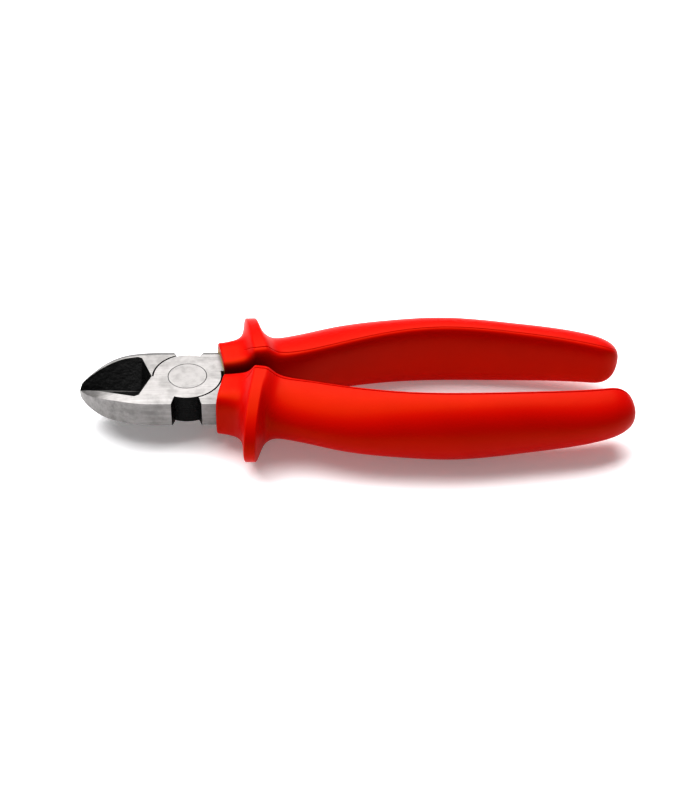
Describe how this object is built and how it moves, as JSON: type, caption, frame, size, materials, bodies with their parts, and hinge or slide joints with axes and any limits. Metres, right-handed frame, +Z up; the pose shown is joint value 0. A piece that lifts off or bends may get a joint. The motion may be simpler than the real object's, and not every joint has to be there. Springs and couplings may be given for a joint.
{
  "type": "diagonal cutting pliers",
  "caption": "Insulated diagonal cutting pliers with a riveted lap joint, bevelled cutting jaws and thick moulded grips with finger guards.",
  "frame": {"origin": "on the pivot axis, in the ground face on the underside of the joint", "axes": "+X towards the ends of the handles, +Z up along the pivot axis through the joint"},
  "size_m": [0.1798, 0.0638, 0.0254],
  "materials": {
    "forged_steel": "ground satin, black oxide in the pocket and notches",
    "rivet_steel": "ground flush",
    "grip_insulation": "moulded, semi-gloss red",
    "liner_insulation": "thin dipped layer"
  },
  "bodies": {
    "lower_handle": {"lower_half": "forged_steel", "pivot_rivet": "rivet_steel", "lower_grip": "grip_insulation", "lower_grip_liner": "liner_insulation"},
    "upper_handle": {"upper_half": "forged_steel", "upper_grip": "grip_insulation", "upper_grip_liner": "liner_insulation"}
  },
  "joints": [
    {"name": "pivot", "type": "hinge", "parent": "lower_handle", "child": "upper_handle", "pos_m": [0, 0, 0], "axis": [0, 0, 1], "range_deg": [0, 40]}
  ]
}
